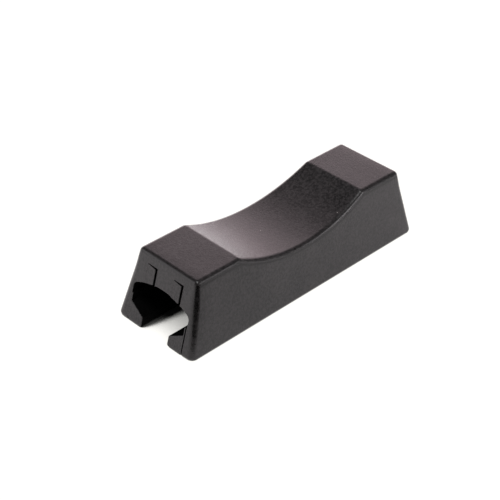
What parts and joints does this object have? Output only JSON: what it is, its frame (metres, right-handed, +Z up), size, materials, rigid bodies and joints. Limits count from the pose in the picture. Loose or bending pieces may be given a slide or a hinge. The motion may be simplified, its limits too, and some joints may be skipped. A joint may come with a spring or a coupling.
{
  "type": "chopstick rest",
  "caption": "Low leaning block with a shallow saddle across its top that keeps chopstick tips off the table, hollow and open underneath, with a frame pressed up into it.",
  "frame": {"origin": "middle of the footprint, on the table", "axes": "+X along the length, +Y across it, +Z up"},
  "size_m": [0.0598, 0.0194, 0.0142],
  "materials": {
    "cover_plastic": "fine sandblasted mould texture, low sheen",
    "frame_plastic": "fine sandblasted mould texture, slightly duller than the cover"
  },
  "bodies": {
    "root": {"cover": "cover_plastic", "inner_frame": "frame_plastic"}
  },
  "joints": []
}
